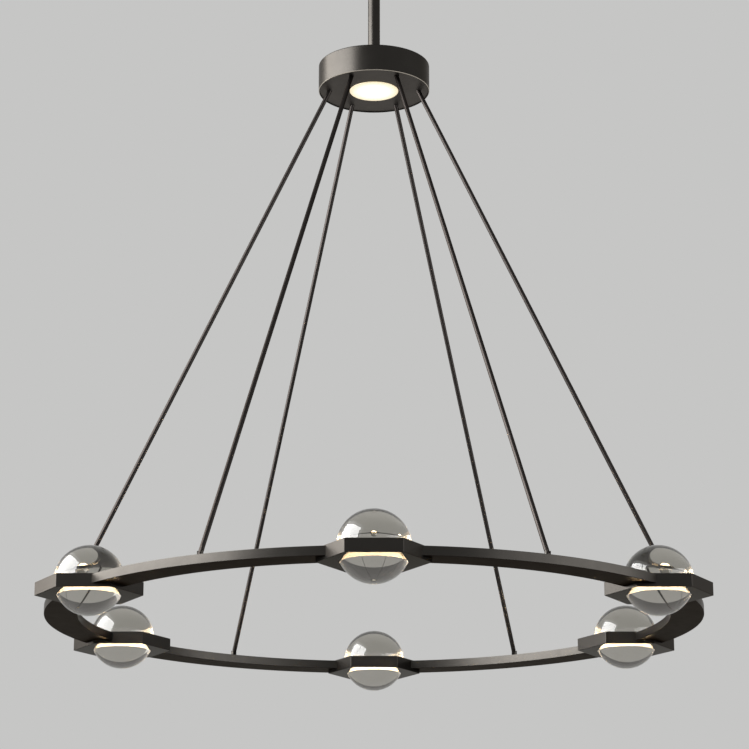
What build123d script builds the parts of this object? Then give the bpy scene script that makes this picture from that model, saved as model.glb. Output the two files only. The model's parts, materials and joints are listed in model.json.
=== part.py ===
from build123d import *
import os
from math import asin, atan, cos, degrees, hypot, radians, sin, tan

os.makedirs("parts", exist_ok=True)

# A stem-hung chandelier: a round hub, six splayed rods and a ring of six solid glass balls.
# Millimetres. The ceiling is the plane z = 0 and everything hangs below it. Each repeated
# piece is modelled once, with the ring's radius along +X, and then turned to its place.

# ---------------------------------------------------------------- driving sizes
# Ring of glass balls
orb_count = 6
first_orb_angle = -90.0  # the first ball is at the front, on -Y
ring_radius = 532.0  # circle through the balls' centres
hub_drop = 963.0  # hub's lower rim down to the balls' centres
orb_radius = 57.5

# Hexagonal frame round each ball
frame_rim_width = 8.3  # flats of the frame outside the cover ring's ledge
frame_height = 22.0
frame_top_drop = 3.0  # frame's top face below the ball's centre
frame_edge_chamfer = 0.7
seat_lip_height = 1.8  # solid floor of the frame, cut to the ball's own curve
seat_clearance = 0.2
light_channel_width = 8.0  # from the ball's widest circle to the channel's wall
cover_ledge_width = 2.7  # ledge that carries the cover ring
cover_thickness = 2.5
cover_mouth_gap = 1.3  # light slit between cover ring and ball

# Light in the frame
led_ring_thickness = 2.0
led_ring_height = 14.0
led_gap = 1.3  # between the LED strip and the diffuser
diffuser_thickness = 1.5

# Curved bars between the frames
band_overhang = 32.0  # bars' outer face beyond the circle of the balls' centres
band_width = 57.0
band_height = 15.0
band_top_drop = 1.5  # bars' top face below the frames' top face
band_wall = 2.5
band_edge_chamfer = 0.7
tenon_length = 26.0  # how far a joining block reaches into a bar
tenon_clearance = 0.1
joint_screw_radius = 3.0
joint_screw_head_radius = 5.2
joint_screw_head_height = 5.0
joint_screw_head_recess = 1.0  # head sunk below the channel's wall
joint_screw_bite = 15.0  # thread past the frame's corner

# Rods and their ends
rod_radius = 4.0
rod_bore_radius = 2.5
pin_radius = 1.5
pin_clearance = 0.05
tongue_thickness = 4.0
tongue_length = 6.0
foot_radius = 5.0
foot_pin_height = 7.0
foot_flange_radius = 6.5
foot_flange_height = 1.5
foot_flange_chamfer = 0.9
foot_slot_clearance = 0.1  # each side of the tongue
foot_slot_end_clearance = 0.5  # below the tongue's round end
foot_pin_recess = 0.2  # each end of the pin inside the foot
foot_stud_radius = 2.5
foot_stud_length = 6.0
rod_end_past_pin = 5.0
hanger_pin_proud = 1.0  # each end of the pin past the ears
hanger_pin_height = 8.0
hanger_ear_thickness = 2.0
hanger_ear_radius = 6.0
hanger_base_thickness = 2.0
hanger_base_length = 28.0
hanger_base_width = 15.0
hanger_pin_circle = 76.0  # radius at which the rods' upper pins lie
rod_hole_clearance = 0.4

# Hub
hub_radius = 101.5
hub_height = 50.0
hub_wall = 2.0
hub_top_thickness = 2.5
hub_top_fillet = 2.0
hub_rim_chamfer = 1.0
plate_recess = 1.5
plate_thickness = 3.0
plate_clearance = 0.2
standoff_count = 3
standoff_radius = 4.0
standoff_wall_gap = 5.5  # between a standoff and the hub's wall
hub_screw_radius = 2.0
hub_screw_head_radius = 3.6
hub_screw_head_height = 2.2
hub_screw_head_fillet = 1.3
hub_screw_socket_radius = 1.2
hub_screw_depth = 8.0

# Downlight
lens_radius = 44.5
lens_proud = 1.2
lens_flange_width = 2.0
lens_flange_height = 2.5
trim_width = 1.3
trim_flange_width = 4.0
trim_flange_height = 1.5
trim_clearance = 0.2
reflector_height = 9.5
reflector_throat_radius = 22.0
reflector_wall = 1.2
board_radius = 26.0
board_thickness = 1.6
light_source_height = 1.0
can_wall = 2.5
can_top_thickness = 3.4
fin_count = 9
fin_height = 8.0
fin_thickness = 2.2
plate_screw_radius = 2.0
plate_screw_head_radius = 3.5
plate_screw_head_height = 2.4
plate_screw_head_chamfer = 0.6
plate_screw_head_room = 0.3
plate_screw_web = 0.6  # left of the plate under a screw's blind hole
lug_radius = 6.0
lug_height = 2.0
driver_length = 100.0
driver_width = 34.0
driver_height = 14.0
driver_corner = 2.0
driver_spacing = 66.0

# Stem
stem_radius = 11.0
stem_wall = 2.0
stem_length = 203.2
stem_plug_height = 14.0
nipple_radius = 6.5
wireway_radius = 4.0
nut_width = 22.0
nut_height = 6.0
nipple_past_nut = 2.0
thread_clearance = 0.05

# Canopy and ball swivel
canopy_radius = 76.0
canopy_height = 40.0
canopy_wall = 2.0
canopy_fillet = 3.0
swivel_radius = 17.0
swivel_play = 0.3
swivel_tilt = 25.0  # degrees each way
swivel_spare_angle = 2.5
neck_radius = 6.5
neck_clearance = 1.6
neck_end_gap = 1.0  # between the neck's end and the bottom of the stem's bore
stem_tilt_clearance = 4.0
seat_top_drop = 3.0  # top of the nylon seat below the ball's centre
washer_wall = 4.0
washer_clearance = 0.1
collar_wall = 6.0
collar_foot_width = 3.0  # how far the collar's foot reaches out under its wall
collar_fit = 0.05

# Crossbar, to the ceiling's outlet box
crossbar_length = 112.0
crossbar_width = 22.0
crossbar_thickness = 2.5
box_screw_spacing = 88.9
box_slot_length = 10.0
box_slot_radius = 2.25
wire_hole_radius = 6.5
canopy_stud_spacing = 62.0
canopy_stud_radius = 2.5
canopy_stud_end = 8.0  # thread below the canopy
canopy_nut_radius = 6.5
canopy_nut_height = 9.0
ground_screw_offset = 20.0
ground_screw_radius = 2.0
ground_screw_head_radius = 4.0
ground_screw_head_height = 2.6
ground_screw_slot_width = 1.0
ground_screw_slot_depth = 1.0

# ---------------------------------------------------------------- worked-out places
# Ball swivel: the seat's and the collar's mouths let the neck lean by the full tilt
neck_angle = degrees(asin(neck_radius / swivel_radius))
seat_mouth_angle = neck_angle + swivel_tilt + swivel_spare_angle
seat_radius = swivel_radius + swivel_play
canopy_floor_z = canopy_wall - canopy_height
swivel_z = canopy_floor_z + seat_radius * cos(radians(seat_mouth_angle))
seat_top_z = swivel_z - seat_top_drop
washer_radius = seat_radius + washer_wall
floor_depth = canopy_height + swivel_z  # canopy's underside below the ball's centre
lean = radians(swivel_tilt)
swivel_mouth_radius = floor_depth * tan(lean) + neck_radius / cos(lean) + neck_clearance
collar_bore = washer_radius + washer_clearance
collar_foot_radius = collar_bore + collar_foot_width
neck_length = (floor_depth + stem_tilt_clearance + stem_radius * sin(lean)) / cos(lean)

# Rings of the frame, outwards from the ball: diffuser, LED strip, channel wall, ledge, flats
light_channel_radius = orb_radius + light_channel_width
led_outer_radius = light_channel_radius - seat_clearance
led_inner_radius = led_outer_radius - led_ring_thickness
diffuser_outer_radius = led_inner_radius - led_gap
diffuser_inner_radius = diffuser_outer_radius - diffuser_thickness
cover_ledge_radius = light_channel_radius + cover_ledge_width
frame_apothem = cover_ledge_radius + frame_rim_width  # centre to flat
frame_corner_radius = frame_apothem / cos(radians(30))
band_outer_radius = ring_radius + band_overhang
band_mid_radius = band_outer_radius - band_width / 2

# Heights down the stem, the hub and the ring
stem_top_z = swivel_z - neck_length
hub_top_z = stem_top_z - stem_length
hub_bottom_z = hub_top_z - hub_height
ceiling_inside_hub_z = hub_top_z - hub_top_thickness
plate_bottom_z = hub_bottom_z + plate_recess
plate_top_z = plate_bottom_z + plate_thickness
orb_z = hub_bottom_z - hub_drop
frame_top_z = orb_z - frame_top_drop
frame_bottom_z = frame_top_z - frame_height
lip_top_z = frame_bottom_z + seat_lip_height
cover_bottom_z = frame_top_z - cover_thickness
band_top_z = frame_top_z - band_top_drop
band_mid_z = band_top_z - band_height / 2

# Hub and downlight, stacked up from the plate
standoff_circle = hub_radius - hub_wall - standoff_wall_gap - standoff_radius
blind_hole_z = plate_bottom_z + plate_screw_web
trim_top_z = plate_top_z + trim_flange_height
lens_top_z = trim_top_z + lens_flange_height
board_bottom_z = lens_top_z + reflector_height
can_inner_radius = lens_radius + trim_width + trim_flange_width + trim_clearance
can_radius = can_inner_radius + can_wall
can_inside_top_z = board_bottom_z + board_thickness
can_top_z = can_inside_top_z + can_top_thickness
lug_circle = can_radius + lug_radius / 2

# Rods: from the pin in the foot up to the pin in the hub
foot_pin_z = band_top_z + foot_pin_height
hanger_pin_z = plate_top_z + hanger_pin_height
rod_run = band_mid_radius - hanger_pin_circle
rod_rise = hanger_pin_z - foot_pin_z
rod_length = hypot(rod_run, rod_rise)
rod_lean = degrees(atan(rod_run / rod_rise))
ear_gap = rod_radius + pin_clearance  # each side of the rod
ear_outer = ear_gap + hanger_ear_thickness

orb_pitch = 360.0 / orb_count
orb_angles = [first_orb_angle + orb_pitch * index for index in range(orb_count)]
rod_angles = [angle + orb_pitch / 2 for angle in orb_angles]
up_from_low_end = (Align.CENTER, Align.CENTER, Align.MIN)


# ---------------------------------------------------------------- helpers
def post(radius, z_low, z_high, x=0.0, y=0.0):
    """A round upright between two heights."""
    return Pos(x, y, z_low) * Cylinder(radius, z_high - z_low, align=up_from_low_end)


def tube(outer_radius, inner_radius, z_low, z_high):
    """A ring about Z between two heights."""
    return post(outer_radius, z_low, z_high) - post(inner_radius, z_low, z_high)


def turned(*corners):
    """A solid of revolution about Z through (radius, height) corners."""
    outline = Plane.XZ * make_face(Polyline(*corners, close=True))
    return revolve(outline, Axis.Z)


def rim_edges(shape, radius, z):
    """The circular edges of a turned shape at one radius and height."""
    circles = shape.edges().filter_by(GeomType.CIRCLE)
    return [e for e in circles if abs(e.radius - radius) < 0.01 and abs(e.arc_center.Z - z) < 0.01]


def round_at(piece, angle):
    """A piece modelled along +X, turned about Z to its place."""
    return Rot(0, 0, angle) * piece


def along_rod(piece):
    """A piece modelled up the Z axis, laid on the rod's line with its foot at the lower pin."""
    return Location((band_mid_radius, 0, foot_pin_z), (0, -rod_lean, 0)) * piece


def write(node, *solids):
    """One file per node; a node of identical pieces is a group of separate solids."""
    shape = solids[0] if len(solids) == 1 else Compound(list(solids))
    export_step(shape, f"parts/{node}.step")


# ---------------------------------------------------------------- ceiling mount
def crossbar():
    """Flat strap across the outlet box: two slots, two tapped stud holes, a wire hole."""
    bar = Pos(0, 0, -crossbar_thickness / 2) * Box(crossbar_length, crossbar_width, crossbar_thickness)
    bar = fillet(bar.edges().filter_by(Axis.Z), crossbar_width / 4)
    slot = extrude(SlotOverall(box_slot_length, 2 * box_slot_radius), crossbar_thickness, both=True)
    for side in (-1, 1):
        bar -= Pos(side * box_screw_spacing / 2, 0, 0) * slot
        bar -= post(canopy_stud_radius, -crossbar_thickness, 0, side * canopy_stud_spacing / 2)
    bar -= post(wire_hole_radius, -crossbar_thickness, 0)
    bar -= post(ground_screw_radius, -crossbar_thickness, 0, ground_screw_offset)
    return bar


def ground_screw():
    """Washer-head screw in the crossbar for the earth wire."""
    head_top = -crossbar_thickness
    head_face = head_top - ground_screw_head_height
    head = post(ground_screw_head_radius, head_face, head_top)
    slot = Box(3 * ground_screw_head_radius, ground_screw_slot_width, 2 * ground_screw_slot_depth)
    head -= Pos(0, 0, head_face) * slot
    return Pos(ground_screw_offset, 0, 0) * (head + post(ground_screw_radius, head_top, 0))


def canopy_stud(side):
    """Threaded rod that hangs the canopy from the crossbar."""
    low_end = -canopy_height - canopy_stud_end
    return post(canopy_stud_radius, low_end, 0, side * canopy_stud_spacing / 2)


def canopy_nut(side):
    """Domed cap nut under the canopy."""
    top = -canopy_height
    body = post(canopy_nut_radius, top - canopy_nut_height, top)
    body = fillet(rim_edges(body, canopy_nut_radius, top - canopy_nut_height), canopy_nut_radius / 2)
    body -= post(canopy_stud_radius, top - canopy_stud_end, top)
    return Pos(side * canopy_stud_spacing / 2, 0, 0) * body


def canopy():
    """Shallow round cup against the ceiling, with a hole for the swivel's collar."""
    cup = post(canopy_radius, -canopy_height, 0)
    cup = fillet(rim_edges(cup, canopy_radius, -canopy_height), canopy_fillet)
    hollow = post(canopy_radius - canopy_wall, canopy_floor_z, 0)
    cup -= fillet(rim_edges(hollow, canopy_radius - canopy_wall, canopy_floor_z), canopy_fillet - canopy_wall)
    cup -= post(collar_foot_radius + collar_fit, -canopy_height, canopy_floor_z)
    for side in (-1, 1):
        cup -= post(canopy_stud_radius, -canopy_height, canopy_floor_z, side * canopy_stud_spacing / 2)
    return cup


def swivel_collar():
    """Turned cup round the nylon seat: its foot fills the canopy's hole, its wall stands on the floor."""
    outer = collar_bore + collar_wall
    return turned(
        (swivel_mouth_radius, -canopy_height),
        (collar_foot_radius, -canopy_height),
        (collar_foot_radius, canopy_floor_z),
        (outer, canopy_floor_z),
        (outer, seat_top_z),
        (collar_bore, seat_top_z),
        (collar_bore, canopy_floor_z),
        (swivel_mouth_radius, canopy_floor_z),
    )


def swivel_washer():
    """Nylon seat, dished to the ball; it can turn in the collar."""
    seat = Pos(0, 0, swivel_z) * Sphere(seat_radius)
    return post(washer_radius, canopy_floor_z, seat_top_z) - seat


def swivel_ball():
    """Ball and neck, bored for the wires; the neck screws into the stem's top."""
    neck_bottom_z = stem_top_z - stem_plug_height + neck_end_gap
    ball = Pos(0, 0, swivel_z) * Sphere(swivel_radius)
    ball += post(neck_radius, neck_bottom_z, swivel_z)
    return ball - post(wireway_radius, neck_bottom_z, swivel_z + swivel_radius)


# ---------------------------------------------------------------- stem and hub
def stem_tube():
    """Tube with a plug in each end; the lower plug carries the nipple into the hub."""
    inner = stem_radius - stem_wall
    nipple_end_z = ceiling_inside_hub_z - nut_height - nipple_past_nut
    stem = post(stem_radius, hub_top_z, stem_top_z)
    stem -= post(inner, hub_top_z + stem_plug_height, stem_top_z - stem_plug_height)
    stem += post(nipple_radius, nipple_end_z, hub_top_z)
    stem -= post(wireway_radius, nipple_end_z, hub_top_z + stem_plug_height)
    return stem - post(neck_radius + thread_clearance, stem_top_z - stem_plug_height, stem_top_z)


def stem_nut():
    """Hexagon nut that draws the hub up against the stem."""
    body = extrude(RegularPolygon(nut_width / 2, 6, major_radius=False), nut_height)
    body = Pos(0, 0, ceiling_inside_hub_z - nut_height) * body
    bore = nipple_radius + thread_clearance
    return body - post(bore, ceiling_inside_hub_z - nut_height, ceiling_inside_hub_z)


def standoff_places():
    """Angles of the posts between the hub's top and its plate, one behind each other ball."""
    step = 360 / standoff_count
    return [first_orb_angle + step * index for index in range(standoff_count)]


def hub_housing():
    """Round can, open below, with a soft top edge and a bright bevel round the lower rim."""
    can = post(hub_radius, hub_bottom_z, hub_top_z)
    can = fillet(rim_edges(can, hub_radius, hub_top_z), hub_top_fillet)
    can = chamfer(rim_edges(can, hub_radius, hub_bottom_z), hub_rim_chamfer)
    can -= post(hub_radius - hub_wall, hub_bottom_z, ceiling_inside_hub_z)
    can -= post(nipple_radius + thread_clearance, ceiling_inside_hub_z, hub_top_z)
    for angle in standoff_places():
        can -= round_at(post(hub_screw_radius, ceiling_inside_hub_z, hub_top_z, standoff_circle), angle)
    return can


def hub_standoff():
    """Round post from the plate to the inside of the hub's top, tapped at its upper end."""
    body = post(standoff_radius, plate_top_z, ceiling_inside_hub_z, standoff_circle)
    tapped_from = hub_top_z - hub_screw_depth
    return body - post(hub_screw_radius, tapped_from, ceiling_inside_hub_z, standoff_circle)


def hub_screw():
    """Button-head screw through the hub's top into a standoff."""
    head_top = hub_top_z + hub_screw_head_height
    head = post(hub_screw_head_radius, hub_top_z, head_top)
    head = fillet(rim_edges(head, hub_screw_head_radius, head_top), hub_screw_head_fillet)
    socket = extrude(RegularPolygon(hub_screw_socket_radius, 6), hub_screw_head_height)
    head -= Pos(0, 0, head_top - hub_screw_head_height / 2) * socket
    return Pos(standoff_circle, 0, 0) * (head + post(hub_screw_radius, hub_top_z - hub_screw_depth, hub_top_z))


def rod_clearance_hole():
    """The slanting hole that a rod passes through the plate and the hanger's base."""
    reach = 3 * hanger_pin_height
    drill = post(rod_radius + rod_hole_clearance, rod_length - reach, rod_length)
    return along_rod(drill)


def hanger_screw_places():
    """Offsets of a hanger's two screws across the rod."""
    offset = (ear_outer + hanger_base_length / 2) / 2
    return (-offset, offset)


def hub_plate():
    """Bottom plate set just inside the rim; it carries the downlight and the six rods."""
    plate = post(hub_radius - hub_wall - plate_clearance, plate_bottom_z, plate_top_z)
    plate -= post(lens_radius + trim_width + trim_clearance, plate_bottom_z, plate_top_z)
    for angle in rod_angles:
        plate -= round_at(rod_clearance_hole(), angle)
        for offset in hanger_screw_places():
            hole = post(plate_screw_radius, blind_hole_z, plate_top_z, hanger_pin_circle, offset)
            plate -= round_at(hole, angle)
    for angle in standoff_places():
        plate -= round_at(post(plate_screw_radius, blind_hole_z, plate_top_z, lug_circle), angle)
    return plate


# ---------------------------------------------------------------- downlight
def downlight_trim():
    """Thin ring round the lens, with a flange that rests on the plate."""
    bore = lens_radius + trim_clearance / 2
    neck = lens_radius + trim_width
    flange = neck + trim_flange_width
    return turned(
        (bore, plate_bottom_z),
        (neck, plate_bottom_z),
        (neck, plate_top_z),
        (flange, plate_top_z),
        (flange, trim_top_z),
        (bore, trim_top_z),
    )


def downlight_lens():
    """Frosted lens, a little proud of the plate, hung by its flange on the trim."""
    face = post(lens_radius, plate_bottom_z - lens_proud, trim_top_z)
    face = fillet(rim_edges(face, lens_radius, plate_bottom_z - lens_proud), lens_proud)
    return face + post(lens_radius + lens_flange_width, trim_top_z, lens_top_z)


def downlight_reflector():
    """Conical cup from the lens's flange up to the LED board."""
    wide = lens_radius + lens_flange_width
    throat = reflector_throat_radius
    return turned(
        (wide - reflector_wall, lens_top_z),
        (wide, lens_top_z),
        (wide, lens_top_z + reflector_wall),
        (throat + reflector_wall, board_bottom_z),
        (throat, board_bottom_z),
    )


def downlight_board():
    """Round LED board with its square light source on the underside."""
    board = post(board_radius, board_bottom_z, board_bottom_z + board_thickness)
    source_side = reflector_throat_radius
    source = Box(source_side, source_side, light_source_height)
    return board + Pos(0, 0, board_bottom_z - light_source_height / 2) * source


def downlight_can():
    """Aluminium can over the light: skirt, cooling fins and three screw lugs."""
    can = post(can_radius, plate_top_z, can_top_z)
    can -= post(can_inner_radius, plate_top_z, can_inside_top_z)
    fin_pitch = 2 * can_radius / fin_count
    for index in range(fin_count):
        y = fin_pitch * (index - (fin_count - 1) / 2)
        half_length = (can_radius**2 - (abs(y) + fin_thickness / 2) ** 2) ** 0.5
        fin = Box(2 * half_length, fin_thickness, fin_height, align=up_from_low_end)
        can += Pos(0, y, can_top_z) * fin
    lug_top = plate_top_z + lug_height
    head_space = post(
        plate_screw_head_radius + plate_screw_head_room,
        lug_top,
        lug_top + plate_screw_head_height + plate_screw_head_room,
        lug_circle,
    )
    for angle in standoff_places():
        lug = post(lug_radius, plate_top_z, lug_top, lug_circle) - post(can_inner_radius, plate_top_z, lug_top)
        can += round_at(lug, angle)
        can -= round_at(post(plate_screw_radius, plate_top_z, lug_top, lug_circle), angle)
        can -= round_at(head_space, angle)
    return can


def plate_screw(x, y, seat_z):
    """Pan-head screw standing on a lug or a hanger, threaded into the plate."""
    head_top = seat_z + plate_screw_head_height
    head = post(plate_screw_head_radius, seat_z, head_top)
    head = chamfer(rim_edges(head, plate_screw_head_radius, head_top), plate_screw_head_chamfer)
    return Pos(x, y, 0) * (head + post(plate_screw_radius, blind_hole_z, seat_z))


def plate_screws():
    """The screws of the six rod hangers and of the downlight can."""
    screws = []
    for angle in rod_angles:
        for offset in hanger_screw_places():
            screw = plate_screw(hanger_pin_circle, offset, plate_top_z + hanger_base_thickness)
            screws.append(round_at(screw, angle))
    for angle in standoff_places():
        screws.append(round_at(plate_screw(lug_circle, 0, plate_top_z + lug_height), angle))
    return screws


def led_driver(side):
    """Potted power supply under the hub's top, one on each side of the stem's nut."""
    body = Box(driver_length, driver_width, driver_height)
    body = fillet(body.edges().filter_by(Axis.Z), driver_corner)
    return Pos(0, side * driver_spacing / 2, ceiling_inside_hub_z - driver_height / 2) * body


# ---------------------------------------------------------------- rods and their ends
def rod_hanger():
    """U bracket on the plate: a base with the rod's hole and two ears for its pin."""
    base = Box(hanger_base_width, hanger_base_length, hanger_base_thickness, align=up_from_low_end)
    bracket = Pos(hanger_pin_circle, 0, plate_top_z) * base
    for side in (-1, 1):
        middle = side * (ear_gap + hanger_ear_thickness / 2)
        leg = Box(2 * hanger_ear_radius, hanger_ear_thickness, hanger_pin_height, align=up_from_low_end)
        bracket += Pos(hanger_pin_circle, middle, plate_top_z) * leg
        eye = Rot(90, 0, 0) * Cylinder(hanger_ear_radius, hanger_ear_thickness)
        bracket += Pos(hanger_pin_circle, middle, hanger_pin_z) * eye
        hole = post(plate_screw_radius, plate_top_z, plate_top_z + hanger_base_thickness)
        bracket -= Pos(hanger_pin_circle, hanger_screw_places()[0 if side < 0 else 1], 0) * hole
    bracket -= rod_clearance_hole()
    pin_hole = Rot(90, 0, 0) * Cylinder(pin_radius + pin_clearance, 2 * ear_outer)
    return bracket - Pos(hanger_pin_circle, 0, hanger_pin_z) * pin_hole


def rod():
    """Thin tube with a flat rounded tongue at the foot and a cross hole at each end."""
    top_end = rod_length + rod_end_past_pin
    body = post(rod_radius, tongue_length, top_end)
    tongue = Box(2 * rod_radius, tongue_thickness, tongue_length, align=up_from_low_end)
    body += tongue + Rot(90, 0, 0) * Cylinder(rod_radius, tongue_thickness)
    body -= post(rod_bore_radius, tongue_length + rod_radius, top_end)
    pin_hole = Rot(90, 0, 0) * Cylinder(pin_radius + pin_clearance, 4 * rod_radius)
    body -= pin_hole
    return along_rod(body - Pos(0, 0, rod_length) * pin_hole)


def rod_foot():
    """Forked post on the bar's top face, flared at its base, with a stud into the bar."""
    upright = post(foot_radius, band_top_z, foot_pin_z + foot_radius)
    crown = Rot(90, 0, 0) * Cylinder(foot_radius, 2 * foot_radius)
    below_pin = Box(2 * foot_radius, 2 * foot_radius, foot_pin_height, align=(Align.CENTER, Align.CENTER, Align.MAX))
    upright &= Pos(0, 0, foot_pin_z) * (crown + below_pin)
    flange_top = band_top_z + foot_flange_height
    flange = post(foot_flange_radius, band_top_z, flange_top)
    upright += chamfer(rim_edges(flange, foot_flange_radius, flange_top), foot_flange_chamfer)
    slot_width = tongue_thickness + 2 * foot_slot_clearance
    slot_depth = rod_radius + foot_slot_end_clearance
    slot = Box(2 * foot_flange_radius, slot_width, 2 * foot_radius, align=up_from_low_end)
    upright -= Pos(0, 0, foot_pin_z - slot_depth) * slot
    upright += post(foot_stud_radius, band_top_z - foot_stud_length, band_top_z)
    pin_hole = Rot(90, 0, 0) * Cylinder(pin_radius + pin_clearance, 2 * foot_radius)
    upright -= Pos(0, 0, foot_pin_z) * pin_hole
    return Pos(band_mid_radius, 0, 0) * upright


def cross_pins():
    """The pins across each rod: one in the foot's fork, one in the hanger's ears."""
    foot_pin = Rot(90, 0, 0) * Cylinder(pin_radius, 2 * (foot_radius - foot_pin_recess))
    hanger_pin = Rot(90, 0, 0) * Cylinder(pin_radius, 2 * (ear_outer + hanger_pin_proud))
    pins = []
    for angle in rod_angles:
        pins.append(round_at(Pos(band_mid_radius, 0, foot_pin_z) * foot_pin, angle))
        pins.append(round_at(Pos(hanger_pin_circle, 0, hanger_pin_z) * hanger_pin, angle))
    return pins


# ---------------------------------------------------------------- ring of bars and frames
def hexagon(apothem, z_low, z_high):
    """Hexagonal prism about a ball, with two corners along the ring."""
    outline = RegularPolygon(apothem, 6, major_radius=False, rotation=30)
    return Pos(ring_radius, 0, z_low) * extrude(outline, z_high - z_low)


def band_section(inset):
    """Cross-section of a bar, drawn in by an inset on every side."""
    width = band_width - 2 * inset
    return Pos(band_mid_radius, band_mid_z) * Rectangle(width, band_height - 2 * inset)


def ring_bar():
    """Hollow curved bar from one frame to the next, its ends notched to the frames' corners."""
    outside = band_section(0)
    outside = chamfer(outside.vertices(), band_edge_chamfer)
    section = Plane.XZ * (outside - band_section(band_wall))
    bar = revolve(section, Axis.Z, orb_pitch)
    frame_space = hexagon(frame_apothem, frame_bottom_z, frame_top_z)
    bar -= frame_space
    bar -= round_at(frame_space, orb_pitch)
    stud_hole = post(foot_stud_radius, band_top_z - band_wall, band_top_z, band_mid_radius)
    return bar - round_at(stud_hole, orb_pitch / 2)


def joint_axis(piece):
    """A piece modelled up Z, laid along the ring's tangent from a frame's centre."""
    return Pos(ring_radius, 0, band_mid_z) * (Rot(-90, 0, 0) * piece)


def tenons():
    """Two blocks that reach from one frame's corners into the bars on either side."""
    core = revolve(Plane.XZ * band_section(band_wall + tenon_clearance), Axis.Z)
    reach = hexagon(frame_apothem + tenon_length * cos(radians(30)), frame_bottom_z, frame_top_z)
    blocks = (core & reach) - hexagon(frame_apothem, frame_bottom_z, frame_top_z)
    screw_end = frame_corner_radius + joint_screw_bite
    for side in (0, 180):
        blocks -= joint_axis(Rot(side, 0, 0) * post(joint_screw_radius, 0, screw_end))
    return blocks.solids()


def joint_screw():
    """Cap screw from the frame's light channel out through its corner into a tenon."""
    head_top = light_channel_radius + joint_screw_head_recess
    shank_from = head_top + joint_screw_head_height
    head = post(joint_screw_head_radius, head_top, shank_from)
    return head + post(joint_screw_radius, shank_from, frame_corner_radius + joint_screw_bite)


def joint_screws():
    """The two screws of one frame."""
    return [joint_axis(Rot(side, 0, 0) * joint_screw()) for side in (0, 180)]


def hex_frame():
    """Hexagonal frame: a lip cut to the ball, a channel for the light, a ledge for the cover."""
    frame = hexagon(frame_apothem, frame_bottom_z, frame_top_z)
    frame = chamfer(frame.edges(), frame_edge_chamfer)
    channel = post(light_channel_radius, lip_top_z, frame_top_z)
    ledge = post(cover_ledge_radius, cover_bottom_z, frame_top_z)
    ball_space = Pos(0, 0, orb_z) * Sphere(orb_radius + seat_clearance)
    frame -= Pos(ring_radius, 0, 0) * (channel + ledge + ball_space)
    head_seat = light_channel_radius + joint_screw_head_recess + joint_screw_head_height
    for side in (0, 180):
        frame -= joint_axis(Rot(side, 0, 0) * post(joint_screw_head_radius, orb_radius, head_seat))
        frame -= joint_axis(Rot(side, 0, 0) * post(joint_screw_radius, orb_radius, frame_corner_radius))
    return frame


def glass_orb():
    """Solid clear glass ball; it lies in the frame's dished lip by its own weight."""
    return Pos(ring_radius, 0, orb_z) * Sphere(orb_radius)


def led_ring():
    """LED strip round the wall of the frame's channel."""
    strip = tube(led_outer_radius, led_inner_radius, lip_top_z, lip_top_z + led_ring_height)
    return Pos(ring_radius, 0, 0) * strip


def diffuser_ring():
    """Frosted ring between the LEDs and the ball, trapped under the cover."""
    ring = tube(diffuser_outer_radius, diffuser_inner_radius, lip_top_z, cover_bottom_z)
    return Pos(ring_radius, 0, 0) * ring


def cover_ring():
    """Flat ring let into the frame's top face, round the ball."""
    outer = cover_ledge_radius - seat_clearance
    ball_at_top = (orb_radius**2 - frame_top_drop**2) ** 0.5
    ring = tube(outer, ball_at_top + cover_mouth_gap, cover_bottom_z, frame_top_z)
    return Pos(ring_radius, 0, 0) * ring


# ---------------------------------------------------------------- write every node
both_sides = (-1, 1)

write("crossbar", crossbar())
write("ground_screw", ground_screw())
write("canopy_studs", *[canopy_stud(side) for side in both_sides])
write("canopy_nuts", *[canopy_nut(side) for side in both_sides])
write("canopy", canopy())
write("swivel_collar", swivel_collar())
write("swivel_washer", swivel_washer())
write("swivel_ball", swivel_ball())
write("stem_tube", stem_tube())
write("stem_nut", stem_nut())
write("hub_housing", hub_housing())
write("hub_plate", hub_plate())
write("hub_standoffs", *[round_at(hub_standoff(), angle) for angle in standoff_places()])
write("hub_screws", *[round_at(hub_screw(), angle) for angle in standoff_places()])
write("downlight_trim", downlight_trim())
write("downlight_lens", downlight_lens())
write("downlight_reflector", downlight_reflector())
write("downlight_board", downlight_board())
write("downlight_can", downlight_can())
write("led_drivers", *[led_driver(side) for side in both_sides])
write("plate_screws", *plate_screws())
write("rod_hangers", *[round_at(rod_hanger(), angle) for angle in rod_angles])
write("rod_pins", *cross_pins())

for number, angle in enumerate(rod_angles, start=1):
    write(f"rod_{number}", round_at(rod(), angle))
    write(f"rod_foot_{number}", round_at(rod_foot(), angle))

for number, angle in enumerate(orb_angles, start=1):
    write(f"ring_bar_{number}", round_at(ring_bar(), angle))
    write(f"hex_frame_{number}", round_at(hex_frame(), angle))
    write(f"glass_orb_{number}", round_at(glass_orb(), angle))

write("tenons", *[round_at(block, angle) for angle in orb_angles for block in tenons()])
write("joint_screws", *[round_at(screw, angle) for angle in orb_angles for screw in joint_screws()])
write("led_rings", *[round_at(led_ring(), angle) for angle in orb_angles])
write("diffuser_rings", *[round_at(diffuser_ring(), angle) for angle in orb_angles])
write("cover_rings", *[round_at(cover_ring(), angle) for angle in orb_angles])
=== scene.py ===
import json
from math import cos, hypot, pi, radians, sin

import bmesh
import bpy
from mathutils import Matrix, Vector


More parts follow.
